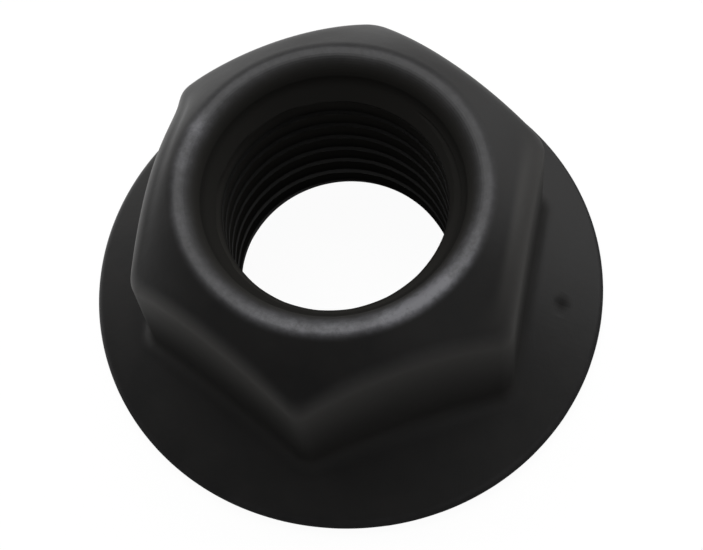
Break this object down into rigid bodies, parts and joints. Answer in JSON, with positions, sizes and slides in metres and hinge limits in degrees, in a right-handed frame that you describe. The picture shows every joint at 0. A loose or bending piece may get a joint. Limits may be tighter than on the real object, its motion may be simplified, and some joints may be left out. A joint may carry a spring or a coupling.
{
  "type": "serrated flange nut",
  "caption": "Hexagon nut with a wide conical flange, a domed crown and ratchet serrations under the flange, in blackened steel.",
  "frame": {"origin": "centre of the bearing plane, on the bore's axis, level with the crests of the serrations", "axes": "+Z along the bore, from the serrated flange to the crown; two of the six flats face +X and -X"},
  "size_m": [0.026, 0.026, 0.012],
  "materials": {
    "black_steel": "black oxide over forged steel, semi-matt, brighter on worn edges"
  },
  "bodies": {
    "root": {"flange_nut": "black_steel"}
  },
  "joints": []
}
